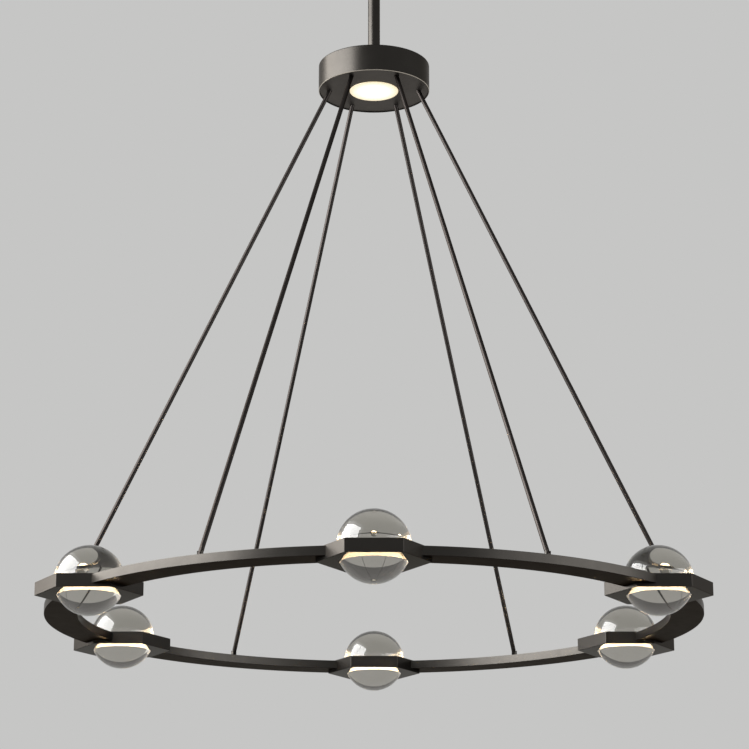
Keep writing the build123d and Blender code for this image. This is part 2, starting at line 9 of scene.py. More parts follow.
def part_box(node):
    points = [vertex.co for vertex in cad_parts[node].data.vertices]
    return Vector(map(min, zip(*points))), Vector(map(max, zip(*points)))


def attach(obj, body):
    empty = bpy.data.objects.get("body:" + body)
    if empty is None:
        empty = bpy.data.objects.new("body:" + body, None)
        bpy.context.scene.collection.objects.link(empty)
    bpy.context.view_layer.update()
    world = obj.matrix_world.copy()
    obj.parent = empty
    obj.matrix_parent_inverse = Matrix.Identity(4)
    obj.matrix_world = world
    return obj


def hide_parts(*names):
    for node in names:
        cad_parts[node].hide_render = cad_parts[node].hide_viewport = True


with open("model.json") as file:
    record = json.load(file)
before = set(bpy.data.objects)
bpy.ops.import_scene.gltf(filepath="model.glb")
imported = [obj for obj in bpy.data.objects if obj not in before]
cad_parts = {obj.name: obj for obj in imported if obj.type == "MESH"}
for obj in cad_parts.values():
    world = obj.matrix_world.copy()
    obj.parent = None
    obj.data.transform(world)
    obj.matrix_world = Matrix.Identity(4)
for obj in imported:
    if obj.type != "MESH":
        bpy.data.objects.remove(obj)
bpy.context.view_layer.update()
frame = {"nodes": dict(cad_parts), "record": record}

# ---------------------------------------------------------------- sizes in metres, and counts
# Heights come from the frame; radii and walls are the real pieces' own.

# Balls, frames and bars.
ORB_COUNT = 6
FIRST_ORB = radians(-90)
PITCH = 2 * pi / ORB_COUNT
RING_RADIUS = 0.532
ORB_RADIUS = 0.0575
ORB_CUTS = 63
SEAT_RADIUS = 0.0577
FRAME_APOTHEM = 0.0765
FRAME_TOP_BELOW_ORB = 0.003
CHANNEL_RADIUS = 0.0655
LEDGE_RADIUS = 0.0682
COVER_RADIUS = 0.068
COVER_MOUTH_RADIUS = 0.05872
COVER_SOFTNESS = 0.0003
DIFFUSER_INNER = 0.0605
DIFFUSER_OUTER = 0.062
DIFFUSER_SOFTNESS = 0.0002
BAR_OUTER = 0.564
BAR_WIDTH = 0.057
BAR_STEPS = 60
EDGE_SOFTNESS = 0.0007

# Hub, downlight, stem and swivel.
HUB_RADIUS = 0.1015
HUB_WALL = 0.002
HUB_TOP_ROUND = 0.002
HUB_RIM_BEVEL = 0.001
HUB_CAVITY_SHARE = 0.94  # of the can's height
LENS_RADIUS = 0.0445
LENS_EDGE_ROUND = 0.0012
STEM_RADIUS = 0.011
NECK_RADIUS = 0.0065
NECK_BORE_PLAY = 0.00005
NECK_BORE_DEPTH = 0.014
SWIVEL_RADIUS = 0.017
WIREWAY_RADIUS = 0.004

# Canopy.
CANOPY_RADIUS = 0.076
CANOPY_WALL = 0.002
CANOPY_ROUND = 0.003
CANOPY_MOUTH = 0.02445
NUT_RADIUS = 0.0065
NUT_ROUND = 0.00325
NUT_SPACING = 0.062

# Rods and their feet.
ROD_RADIUS = 0.004
ROD_BORE = 0.0025
ROD_BORE_DEPTH = 0.03
ROD_END_ROUND = 0.0004
ROD_PAST_PIN = 0.005
ROD_FOOT_CIRCLE = 0.5355
ROD_HEAD_CIRCLE = 0.076
TONGUE_THICKNESS = 0.004
TONGUE_LENGTH = 0.006
FOOT_RADIUS = 0.005
FOOT_PIN_HEIGHT = 0.007
FOOT_FLANGE_RADIUS = 0.0065
FOOT_FLANGE_HEIGHT = 0.0015
FOOT_FLANGE_CHAMFER = 0.0009
FOOT_SLOT = 0.0042
FOOT_SLOT_DEPTH = 0.0045
HANGER_PIN_HEIGHT = 0.008

# Modelling.
CUTTER_REACH = 0.01  # how far a cutting shape passes the piece it cuts
SAME_HEIGHT = 1e-5  # two heights closer than this are one
SAME_POINT = 1e-6  # and so are two points
CAP_FLATNESS = 0.99  # how nearly a flat cap's normal follows Z
UNDERSIDE_SLANT = -0.9  # the normals of an underside point down further than this
RIM_SLANT = (-0.9, -0.3)  # the normals of the hub's bevelled rim lie between these

orb_angles = [FIRST_ORB + PITCH * index for index in range(ORB_COUNT)]
rod_angles = [angle + PITCH / 2 for angle in orb_angles]


def low(node):
    """Height of a CAD node's underside."""
    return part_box(node)[0].z


def high(node):
    """Height of a CAD node's top."""
    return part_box(node)[1].z


orb_z = high("hex_frame_1") + FRAME_TOP_BELOW_ORB
foot_pin_z = high("ring_bar_1") + FOOT_PIN_HEIGHT
hanger_pin_z = high("hub_plate") + HANGER_PIN_HEIGHT
swivel_z = frame["record"]["behaviour"]["joints"][0]["pos_m"][2]


def on_ring(angle, radius, z=0.0):
    """A point at an angle and radius about the ring's axis."""
    return Vector((radius * cos(angle), radius * sin(angle), z))


# ---------------------------------------------------------------- modelling helpers
def deselect():
    """Selects nothing, so that an operator meets only what it makes."""
    bpy.ops.object.select_all(action="DESELECT")


def only(piece):
    """Makes one piece the selected and active object."""
    deselect()
    piece.select_set(True)
    bpy.context.view_layer.objects.active = piece


def finished(name):
    """Names the active object and puts its place into its mesh."""
    piece = bpy.context.object
    piece.name = name
    piece.data.name = name
    bpy.ops.object.transform_apply(location=True, rotation=True, scale=True)
    return piece


def cylinder(name, radius, z_low, z_high, sides=128):
    """An upright cylinder on the axis between two heights."""
    deselect()
    middle = (0, 0, (z_low + z_high) / 2)
    bpy.ops.mesh.primitive_cylinder_add(vertices=sides, radius=radius, depth=z_high - z_low, location=middle)
    return finished(name)


def box(name, sizes, middle):
    """A block about its middle."""
    deselect()
    bpy.ops.mesh.primitive_cube_add(size=1, location=middle)
    bpy.context.object.scale = sizes
    return finished(name)


def sphere(name, radius, z):
    """A ball on the axis."""
    deselect()
    bpy.ops.mesh.primitive_uv_sphere_add(segments=128, ring_count=64, radius=radius, location=(0, 0, z))
    return finished(name)


def hexagon(name, centre, apothem, z_low, z_high, turn=0.0):
    """A hexagonal prism with two corners on the X axis through its centre, or turned from it."""
    deselect()
    bpy.ops.mesh.primitive_cylinder_add(
        vertices=6,
        radius=apothem / cos(pi / 6),
        depth=z_high - z_low,
        location=(centre.x, centre.y, (z_low + z_high) / 2),
        rotation=(0, 0, pi / 2 + turn),
    )
    return finished(name)


def tab(name, radius, thickness, z_low, z_high):
    """A flat tab across Y with round ends about two heights on the axis."""
    deselect()
    bpy.ops.mesh.primitive_cylinder_add(
        vertices=48, radius=radius, depth=thickness, location=(0, 0, z_low), rotation=(pi / 2, 0, 0)
    )
    piece = finished(name)
    edit(piece, "VERT", lambda vert: vert.co.z > z_low)
    bpy.ops.transform.translate(value=(0, 0, z_high - z_low))
    close_edit()
    return piece


def edit(piece, kind, wanted):
    """Opens a piece for editing with the points, edges or faces that pass a test selected."""
    only(piece)
    bpy.ops.object.mode_set(mode="EDIT")
    bpy.ops.mesh.select_mode(type=kind)
    bpy.ops.mesh.select_all(action="DESELECT")
    mesh = bmesh.from_edit_mesh(piece.data)
    for element in {"VERT": mesh.verts, "EDGE": mesh.edges, "FACE": mesh.faces}[kind]:
        element.select_set(wanted(element))
    bmesh.update_edit_mesh(piece.data)


def close_edit():
    """Goes back to the whole piece."""
    bpy.ops.object.mode_set(mode="OBJECT")


def rim_at(z):
    """A test for the rim edges at a height."""
    return lambda edge: all(abs(vert.co.z - z) < SAME_HEIGHT for vert in edge.verts)


def cap_at(z):
    """A test for the flat cap at a height."""
    return lambda face: (
        abs(face.normal.z) > CAP_FLATNESS and abs(face.calc_center_median().z - z) < SAME_HEIGHT
    )


def round_rim(piece, z, size, segments=4):
    """Rounds the rim at a height."""
    edit(piece, "EDGE", rim_at(z))
    bpy.ops.mesh.bevel(offset=size, segments=segments, affect="EDGES")
    close_edit()


def hollow(piece, cap_z, wall, depth):
    """Sinks a cap, less a wall, by a depth along Z."""
    edit(piece, "FACE", cap_at(cap_z))
    bpy.ops.mesh.inset(thickness=wall)
    bpy.ops.mesh.extrude_region_move(TRANSFORM_OT_translate={"value": (0, 0, depth)})
    close_edit()


def pierce(piece, z_low, z_high, wall):
    """Opens a cylinder right through, less a wall, by insetting both caps and bridging them."""
    edit(piece, "FACE", lambda face: cap_at(z_low)(face) or cap_at(z_high)(face))
    bpy.ops.mesh.inset(thickness=wall)
    bpy.ops.mesh.bridge_edge_loops()
    close_edit()


def apply(piece, kind, **settings):
    """Adds a modifier and applies it."""
    only(piece)
    modifier = piece.modifiers.new(kind.title(), kind)
    for key, value in settings.items():
        setattr(modifier, key, value)
    bpy.ops.object.modifier_apply(modifier=modifier.name)


def combine(piece, other, operation="DIFFERENCE"):
    """Cuts, joins or keeps what two shapes share, and takes the other out of the scene."""
    apply(piece, "BOOLEAN", operation=operation, object=other, solver="EXACT")
    bpy.data.objects.remove(other, do_unlink=True)


def soften(piece, width, angle=40):
    """Breaks every real edge."""
    apply(piece, "BEVEL", width=width, segments=2, limit_method="ANGLE", angle_limit=radians(angle))


def smooth(piece, degrees=35):
    """Smooth shading, broken at real edges, in which the flat faces stay flat beside their softened edges."""
    only(piece)
    bpy.ops.object.shade_smooth_by_angle(angle=radians(degrees))
    apply(piece, "WEIGHTED_NORMAL", keep_sharp=True, weight=100)


def copy_of(piece, name, move):
    """Another copy with its own mesh, placed by a matrix."""
    twin = piece.copy()
    twin.data = piece.data.copy()
    twin.name = name
    twin.data.name = name
    twin.data.transform(move)
    bpy.context.collection.objects.link(twin)
    return twin


def dress(piece, material, slot, body, *nodes):
    """Gives a piece its finish and its body, and hides the CAD nodes it stands for."""
    piece.data.materials.clear()
    piece.data.materials.append(material)
    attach(piece, body)
    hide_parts(*nodes)


def refinish(piece, material, wanted):
    """Gives the faces that pass a test a second finish."""
    piece.data.materials.append(material)
    for face in piece.data.polygons:
        if wanted(face):
            face.material_index = len(piece.data.materials) - 1


def faces_down(face):
    """A test for the faces of a flat underside."""
    return face.normal.z < UNDERSIDE_SLANT


# ---------------------------------------------------------------- finishes
# The sockets of a Mix node that mixes colours, whose names repeat for its other kinds of data.
MIX_SHARE, MIX_FIRST, MIX_SECOND, MIX_RESULT = 0, 6, 7, 2

PEEL_HEIGHT = 0.0002  # metres
HAZE_SPREAD = 0.15  # of the roughness, either way
GLOSS_SPREAD = 0.06  # of roughness, either way
SILICONE_GLOW = (44.0, 60.0)  # between the chips and over them
ACRYLIC_GLOW = (1.3, 0.6)  # at the middle and at the rim
ACRYLIC_WARMS_FROM = 0.6  # of the way from the middle to the rim


def colour(hex_code):
    """An sRGB hex colour as linear RGBA."""
    channels = [int(hex_code[i : i + 2], 16) / 255 for i in (1, 3, 5)]
    return [c / 12.92 if c <= 0.04045 else ((c + 0.055) / 1.055) ** 2.4 for c in channels] + [1.0]


def per_mm(size):
    """A pattern's scale for features of a real size in millimetres."""
    return 1000.0 / size


def add_node(tree, kind, inputs=None, **settings):
    """Adds a node with its settings; an input is a value or another node's output."""
    node = tree.nodes.new(kind)
    for key, value in settings.items():
        setattr(node, key, value)
    for socket, value in (inputs or {}).items():
        if isinstance(value, bpy.types.NodeSocket):
            tree.links.new(value, node.inputs[socket])
        else:
            node.inputs[socket].default_value = value
    return node


def new_finish(name, surface):
    """A material with one Principled shader; returns it, its tree, the shader and Object coordinates."""
    material = bpy.data.materials.new(name)
    material.use_nodes = True
    tree = material.node_tree
    tree.nodes.clear()
    shader = add_node(tree, "ShaderNodeBsdfPrincipled", surface)
    add_node(tree, "ShaderNodeOutputMaterial", {"Surface": shader.outputs["BSDF"]})
    where = add_node(tree, "ShaderNodeTexCoord").outputs["Object"]
    return material, tree, shader, where


def uneven_tone(tree, shader, where, patch_mm, detail, one, other):
    """Lets the base colour drift between two close tones, in patches of a real size; returns the
    drift and the tone."""
    drift = add_node(
        tree, "ShaderNodeTexNoise", {"Vector": where, "Scale": per_mm(patch_mm), "Detail": detail}
    )
    tone = add_node(
        tree,
        "ShaderNodeMix",
        {MIX_SHARE: drift.outputs["Fac"], MIX_FIRST: colour(one), MIX_SECOND: colour(other)},
        data_type="RGBA",
    )
    tree.links.new(tone.outputs[MIX_RESULT], shader.inputs["Base Color"])
    return drift.outputs["Fac"], tone.outputs[MIX_RESULT]


def lacquered_bronze(name, dark, light, graze, roughness, peel=0.0):
    """Steel, blackened and finished as bronze: a brown that drifts slowly between two tones like a
    patina, highlights as broad as its roughness, its own brightness at a grazing view and, where the
    lacquer is sprayed thick, a faint orange peel."""
    material, tree, shader, where = new_finish(name, {"Metallic": 1.0, "Specular Tint": colour(graze)})
    uneven_tone(tree, shader, where, patch_mm=60, detail=4.0, one=dark, other=light)
    haze = add_node(tree, "ShaderNodeTexNoise", {"Vector": where, "Scale": per_mm(18), "Detail": 3.0})
    duller, glossier = (1 + HAZE_SPREAD) * roughness, (1 - HAZE_SPREAD) * roughness
    rough = add_node(
        tree, "ShaderNodeMapRange", {"Value": haze.outputs["Fac"], "To Min": glossier, "To Max": duller}
    )
    tree.links.new(rough.outputs["Result"], shader.inputs["Roughness"])
    # Real orange peel is finer; at this coarseness it still shows in a close view.
    grain = add_node(tree, "ShaderNodeTexNoise", {"Vector": where, "Scale": per_mm(1.4), "Detail": 2.0})
    bump = add_node(
        tree, "ShaderNodeBump", {"Height": grain.outputs["Fac"], "Strength": peel, "Distance": PEEL_HEIGHT}
    )
    tree.links.new(bump.outputs["Normal"], shader.inputs["Normal"])
    return material


def polished_glass():
    """Soda-lime glass, cast solid and polished: all refraction and a clean edge reflection. Its grey tint is
    painted shade, darkening all that is seen through the ball as if its surroundings were dimmer; the tint is
    a little uneven through the cast."""
    material, tree, shader, where = new_finish(
        "polished_cast_glass", {"Roughness": 0.0, "IOR": 1.5, "Transmission Weight": 1.0}
    )
    # The grey tint is painted shade: it darkens the glass as if its surroundings were dimmer.
    uneven_tone(tree, shader, where, patch_mm=40, detail=1.0, one="#b3b0a8", other="#bbb8b1")
    return material


def lit_silicone():
    """Extruded frosted silicone over a warm LED strip: an even golden glow, a little stronger
    over each chip."""
    material, tree, shader, where = new_finish(
        "lit_frosted_silicone",
        {"Roughness": 0.6, "Base Color": colour("#f4ecd8"), "Emission Color": colour("#ffe8c6")},
    )
    chips = add_node(tree, "ShaderNodeTexNoise", {"Vector": where, "Scale": per_mm(9), "Detail": 0.0})
    glow = add_node(
        tree,
        "ShaderNodeMapRange",
        {"Value": chips.outputs["Fac"], "To Min": SILICONE_GLOW[0], "To Max": SILICONE_GLOW[1]},
    )
    tree.links.new(glow.outputs["Result"], shader.inputs["Emission Strength"])
    return material


def lit_acrylic():
    """Moulded frosted acrylic over the downlight: white across the middle and warmer at the rim,
    where the cone of light thins out."""
    material, tree, shader, where = new_finish(
        "lit_frosted_acrylic", {"Roughness": 0.4, "Base Color": colour("#f6f2e6")}
    )
    flat = add_node(tree, "ShaderNodeVectorMath", {0: where, 1: (1, 1, 0)}, operation="MULTIPLY")
    reach = add_node(tree, "ShaderNodeVectorMath", {0: flat.outputs["Vector"]}, operation="LENGTH")
    edge = add_node(tree, "ShaderNodeMapRange", {"Value": reach.outputs["Value"], "From Max": LENS_RADIUS})
    ramp = add_node(tree, "ShaderNodeValToRGB", {"Fac": edge.outputs["Result"]})
    middle, rim = ramp.color_ramp.elements
    middle.position = ACRYLIC_WARMS_FROM
    middle.color = colour("#fffaf0")
    rim.color = colour("#ffe6ae")
    tree.links.new(ramp.outputs["Color"], shader.inputs["Emission Color"])
    glow = add_node(
        tree,
        "ShaderNodeMapRange",
        {"Value": edge.outputs["Result"], "To Min": ACRYLIC_GLOW[0], "To Max": ACRYLIC_GLOW[1]},
    )
    tree.links.new(glow.outputs["Result"], shader.inputs["Emission Strength"])
    return material


def inner_finish(name, base, other, grain_mm, roughness, metallic=0.0):
    """The plain finish of a piece inside: two close tones and a little unevenness of its gloss."""
    material, tree, shader, where = new_finish(name, {"Metallic": metallic})
    drift, _ = uneven_tone(tree, shader, where, patch_mm=grain_mm, detail=3.0, one=base, other=other)
    duller, glossier = roughness + GLOSS_SPREAD, roughness - GLOSS_SPREAD
    rough = add_node(tree, "ShaderNodeMapRange", {"Value": drift, "To Min": glossier, "To Max": duller})
    tree.links.new(rough.outputs["Result"], shader.inputs["Roughness"])
    return material


# Satin lacquer, sprayed over the hub, canopy, stem, frames and bars: broad soft highlights that
# leave the faces turned from the light nearly black.
satin_bronze = lacquered_bronze(
    "satin_lacquered_bronze", dark="#2f2d2b", light="#383633", graze="#d2cfcc", roughness=0.33, peel=0.05
)
# Lacquer flowed out smooth on the frames' undersides: a dark mirror, which doubles the light round each ball
# into a band along the frame's edge. Its tones and its shine at a grazing view are set darker than the
# satin's: painted shade.
frame_underside_gloss_and_painted_shade = lacquered_bronze(
    "smooth_bronze_painted_shade_underside", dark="#26221f", light="#2d2926", graze="#acaaa7", roughness=0.05
)
# The bars' undersides: painted shade, the satin lacquer in darker tones and duller at a grazing view, an even
# dark face that doesn't mirror the lit balls.
bar_underside_painted_shade = lacquered_bronze(
    "bronze_bar_underside_painted_shade", dark="#26221f", light="#2d2926", graze="#a39f9a", roughness=0.35
)
# Drawn tube, blackened and rubbed: thin near-black lines with a dull streak of light.
rod_bronze = lacquered_bronze(
    "blackened_bronze_tube", dark="#2b2827", light="#33302e", graze="#a8a29c", roughness=0.4
)
# The hub's bottom plate: painted light, the satin lacquer in paler tones and brighter at a grazing view, a
# flat even field that sets off the downlight.
plate_painted_light_bronze = lacquered_bronze(
    "bronze_plate_painted_light", dark="#4b4745", light="#56524f", graze="#f2efeb", roughness=0.42, peel=0.05
)
# A painted highlight on the hub's lower rim: pale bronze tones on its bevel, one thin pale line.
rim_painted_highlight = lacquered_bronze(
    "bronze_rim_painted_highlight", dark="#b9b1a6", light="#c6beb3", graze="#ffffff", roughness=0.3
)
glass = polished_glass()
diffuser = lit_silicone()
lens = lit_acrylic()
# Zinc plating, passivated: a pale grey metal with a cloudy spangle.
zinc_plate = inner_finish("zinc_plated_steel", "#a9aaa6", "#b8b8b2", grain_mm=6, roughness=0.35, metallic=1.0)
# Steel screw dyed green, the sign of an earth connection: coloured metal, half dulled.
green_dye = inner_finish("green_dyed_steel", "#2c6b3c", "#347a45", grain_mm=3, roughness=0.4, metallic=0.6)
# Injection-moulded nylon: milky off-white with a soft sheen.
seat_nylon = inner_finish("moulded_nylon", "#e4e1d6", "#ece9df", grain_mm=8, roughness=0.45)
# Moulded white polycarbonate cup: flat, bright and a little uneven.
white_cup = inner_finish("moulded_white_polycarbonate", "#eeeeea", "#f4f4f1", grain_mm=10, roughness=0.5)
# Printed solder mask round phosphor-coated chips: cream white, satin.
solder_mask = inner_finish("printed_solder_mask", "#ebe6d2", "#f3efe0", grain_mm=4, roughness=0.4)
# Die-cast aluminium, left as cast: dull grey with a fine grain.
cast_can = inner_finish("die_cast_aluminium", "#a7a9ab", "#b4b6b8", grain_mm=3, roughness=0.5, metallic=1.0)
# Moulded ABS case, light grey and matt.
driver_case = inner_finish("moulded_abs_case", "#dcdcd8", "#e6e6e2", grain_mm=5, roughness=0.5)

by_slot = {
    "bronze_finish": satin_bronze,
    "rod_finish": rod_bronze,
    "plated_steel": zinc_plate,
    "green_screw": green_dye,
    "nylon": seat_nylon,
    "clear_glass": glass,
    "frosted_lens": diffuser,
    "white_reflector": white_cup,
    "led_board": solder_mask,
    "cast_can": cast_can,
    "driver_case": driver_case,
}
for entry in frame["record"]["subparts"]:
    node = frame["nodes"][entry["node"]]
    node.data.materials.clear()
    node.data.materials.append(by_slot[entry["material_slot"]])
# The bottom plate gets the paler copy of the bronze: painted light.
frame["nodes"]["hub_plate"].data.materials[0] = plate_painted_light_bronze


# ---------------------------------------------------------------- canopy, swivel, stem and hub
def make_canopy():
    """A drawn cup, open at the ceiling, with a mouth for the stem."""
    bottom, top = low("canopy"), high("canopy")
    cup = cylinder("canopy_shell", CANOPY_RADIUS, bottom, top)
    round_rim(cup, bottom, CANOPY_ROUND)
    hollow(cup, top, CANOPY_WALL, bottom - top + CANOPY_WALL)
    reach = 2 * CANOPY_WALL
    combine(cup, cylinder("mouth", CANOPY_MOUTH, bottom - reach, bottom + reach, sides=96))
    smooth(cup)
    dress(cup, satin_bronze, "bronze_finish", "ceiling_mount", "canopy")


def make_canopy_nuts():
    """Two domed cap nuts under the canopy."""
    bottom, top = low("canopy_nuts"), high("canopy_nuts")
    nut = cylinder("nut", NUT_RADIUS, bottom, top, sides=48)
    round_rim(nut, bottom, NUT_ROUND, segments=5)
    smooth(nut)
    for x, name in ((-NUT_SPACING / 2, "canopy_nut_left"), (NUT_SPACING / 2, "canopy_nut_right")):
        twin = copy_of(nut, name, Matrix.Translation((x, 0, 0)))
        dress(twin, satin_bronze, "bronze_finish", "ceiling_mount", "canopy_nuts")
    bpy.data.objects.remove(nut, do_unlink=True)


def make_swivel():
    """The swivel's ball and neck, bored for the wires."""
    bottom, top = low("swivel_ball"), swivel_z + SWIVEL_RADIUS
    ball = sphere("swivel_ball_and_neck", SWIVEL_RADIUS, swivel_z)
    combine(ball, cylinder("neck", NECK_RADIUS, bottom, swivel_z, sides=64), "UNION")
    wireway = cylinder("wireway", WIREWAY_RADIUS, bottom - CUTTER_REACH, top + CUTTER_REACH, sides=48)
    combine(ball, wireway)
    smooth(ball)
    dress(ball, zinc_plate, "plated_steel", "fixture", "swivel_ball")


def make_stem():
    """The stem, bored at its top for the swivel's neck."""
    bottom, top = high("hub_housing"), high("stem_tube")
    tube = cylinder("stem_rod", STEM_RADIUS, bottom, top, sides=96)
    round_rim(tube, top, EDGE_SOFTNESS, segments=2)
    bore_radius = NECK_RADIUS + NECK_BORE_PLAY
    combine(tube, cylinder("neck_bore", bore_radius, top - NECK_BORE_DEPTH, top + CUTTER_REACH, sides=64))
    smooth(tube)
    dress(tube, satin_bronze, "bronze_finish", "fixture", "stem_tube")


def make_hub():
    """The hub's can, open below, with a painted highlight on the bevel of its lower rim."""
    bottom, top = low("hub_housing"), high("hub_housing")
    can = cylinder("hub_can", HUB_RADIUS, bottom, top, sides=192)
    round_rim(can, top, HUB_TOP_ROUND, segments=5)
    round_rim(can, bottom, HUB_RIM_BEVEL, segments=1)
    hollow(can, bottom, HUB_WALL - HUB_RIM_BEVEL, (top - bottom) * HUB_CAVITY_SHARE)
    smooth(can, degrees=25)
    dress(can, satin_bronze, "bronze_finish", "fixture", "hub_housing")
    steep, shallow = RIM_SLANT
    rim_top = bottom + HUB_RIM_BEVEL
    # The downward bevel of the rim gets the pale copy: a painted highlight.
    refinish(can, rim_painted_highlight, lambda face: steep < face.normal.z < shallow and face.center.z < rim_top)


def make_lens():
    """The downlight's lit lens."""
    bottom, top = low("downlight_lens"), high("downlight_lens")
    disc = cylinder("downlight_glow", LENS_RADIUS, bottom, top)
    round_rim(disc, bottom, LENS_EDGE_ROUND)
    smooth(disc)
    dress(disc, lens, "frosted_lens", "fixture", "downlight_lens")


make_canopy()
make_canopy_nuts()
make_swivel()
make_stem()
make_hub()
make_lens()


# ---------------------------------------------------------------- ring
def make_bar():
    """A bar's section swept round from one frame to the next, its ends notched to their corners."""
    bottom, top = low("ring_bar_1"), high("ring_bar_1")
    deselect()
    middle = (BAR_OUTER - BAR_WIDTH / 2, 0, (bottom + top) / 2)
    bpy.ops.mesh.primitive_plane_add(size=1, location=middle, rotation=(pi / 2, 0, 0))
    bpy.context.object.scale = (BAR_WIDTH, top - bottom, 1)
    piece = finished("bar")
    bpy.ops.object.mode_set(mode="EDIT")
    bpy.ops.mesh.select_all(action="SELECT")
    bpy.ops.mesh.spin(steps=BAR_STEPS, angle=-PITCH, center=(0, 0, 0), axis=(0, 0, 1))
    bpy.ops.mesh.select_all(action="SELECT")
    bpy.ops.mesh.remove_doubles(threshold=SAME_POINT)
    bpy.ops.mesh.normals_make_consistent(inside=False)
    close_edit()
    soften(piece, EDGE_SOFTNESS)
    cut_from, cut_to = bottom - CUTTER_REACH, top + CUTTER_REACH
    for angle in (0, PITCH):
        place = on_ring(angle, RING_RADIUS)
        combine(piece, hexagon("frame_space", place, FRAME_APOTHEM, cut_from, cut_to, turn=pi / 6))
    smooth(piece)
    return piece


def make_frame():
    """One hexagonal frame on the axis: light channel, ledge and seat cut in turn."""
    bottom, top = low("hex_frame_1"), high("hex_frame_1")
    piece = hexagon("frame", Vector((0, 0, 0)), FRAME_APOTHEM, bottom, top)
    soften(piece, EDGE_SOFTNESS, angle=30)
    combine(piece, cylinder("channel", CHANNEL_RADIUS, low("diffuser_rings"), top + CUTTER_REACH))
    combine(piece, cylinder("ledge", LEDGE_RADIUS, low("cover_rings"), top + CUTTER_REACH))
    combine(piece, sphere("seat", SEAT_RADIUS, orb_z))
    smooth(piece)
    return piece


def make_ring(name, outer, inner, node, softness):
    """A flat ring about the axis, at the heights of a CAD node, with softened rims."""
    bottom, top = low(node), high(node)
    ring = cylinder(name, outer, bottom, top)
    pierce(ring, bottom, top, outer - inner)
    soften(ring, softness)
    smooth(ring)
    return ring


def make_orb():
    """A ball swelled from a subdivided cube, so that its faces are even all round."""
    deselect()
    bpy.ops.mesh.primitive_cube_add(size=2 * ORB_RADIUS, location=(0, 0, 0))
    bpy.ops.object.mode_set(mode="EDIT")
    bpy.ops.mesh.select_all(action="SELECT")
    bpy.ops.mesh.subdivide(number_cuts=ORB_CUTS)
    bpy.ops.transform.tosphere(value=1.0)
    ball = bpy.context.object
    close_edit()
    reach = ball.data.vertices[0].co.length
    bpy.ops.object.mode_set(mode="EDIT")
    grow = ORB_RADIUS / reach
    bpy.ops.transform.resize(value=(grow, grow, grow))
    bpy.ops.transform.translate(value=(0, 0, orb_z))
    close_edit()
    bpy.ops.object.shade_smooth()
    return finished("orb")


bar = make_bar()
hex_frame = make_frame()
orb = make_orb()
cover = make_ring("cover", COVER_RADIUS, COVER_MOUTH_RADIUS, "cover_rings", COVER_SOFTNESS)
light = make_ring("light", DIFFUSER_OUTER, DIFFUSER_INNER, "diffuser_rings", DIFFUSER_SOFTNESS)

for number, angle in enumerate(orb_angles, start=1):
    there = Matrix.Translation(on_ring(angle, RING_RADIUS))
    turned = Matrix.Rotation(angle, 4, "Z")
    arc = copy_of(bar, f"bar_{number}", turned)
    dress(arc, satin_bronze, "bronze_finish", "fixture", f"ring_bar_{number}")
    # The bars' undersides get the darker copy of the bronze: painted shade.
    refinish(arc, bar_underside_painted_shade, faces_down)
    holder = copy_of(hex_frame, f"frame_{number}", there)
    dress(holder, satin_bronze, "bronze_finish", "fixture", f"hex_frame_{number}")
    # The frames' undersides get the smoother, darker copy: a real mirror, with painted shade in its tones.
    refinish(holder, frame_underside_gloss_and_painted_shade, faces_down)
    dress(copy_of(orb, f"orb_{number}", there), glass, "clear_glass", "fixture", f"glass_orb_{number}")
    dress(copy_of(cover, f"cover_{number}", there), satin_bronze, "bronze_finish", "fixture", "cover_rings")
    dress(copy_of(light, f"light_{number}", there), diffuser, "frosted_lens", "fixture", "diffuser_rings")
for master in (bar, hex_frame, orb, cover, light):
    bpy.data.objects.remove(master, do_unlink=True)


# ---------------------------------------------------------------- rods
def make_rod():
    """A tube up Z from the foot's pin, with a flat round-ended tongue at its foot."""
    pin_to_pin = hypot(ROD_FOOT_CIRCLE - ROD_HEAD_CIRCLE, hanger_pin_z - foot_pin_z)
    top = pin_to_pin + ROD_PAST_PIN
    tube = cylinder("rod", ROD_RADIUS, TONGUE_LENGTH, top, sides=48)
    round_rim(tube, TONGUE_LENGTH, ROD_END_ROUND, segments=2)
    hollow(tube, top, ROD_RADIUS - ROD_BORE, -ROD_BORE_DEPTH)
    combine(tube, tab("tongue", ROD_RADIUS, TONGUE_THICKNESS, 0, 2 * TONGUE_LENGTH), "UNION")
    smooth(tube)
    return tube


def make_foot():
    """A forked post with a rounded crown, on a flared base."""
    base = high("ring_bar_1")
    post = cylinder("foot", FOOT_RADIUS, base, foot_pin_z + FOOT_RADIUS, sides=64)
    crown = tab("crown", FOOT_RADIUS, 3 * FOOT_RADIUS, base - 2 * FOOT_RADIUS, foot_pin_z)
    combine(post, crown, "INTERSECT")
    flange = cylinder("flange", FOOT_FLANGE_RADIUS, base, base + FOOT_FLANGE_HEIGHT, sides=64)
    round_rim(flange, base + FOOT_FLANGE_HEIGHT, FOOT_FLANGE_CHAMFER, segments=2)
    combine(post, flange, "UNION")
    slot_floor = foot_pin_z - FOOT_SLOT_DEPTH
    slot_top = foot_pin_z + 2 * FOOT_RADIUS
    middle = (0, 0, (slot_floor + slot_top) / 2)
    combine(post, box("slot", (4 * FOOT_RADIUS, FOOT_SLOT, slot_top - slot_floor), middle))
    smooth(post)
    return post


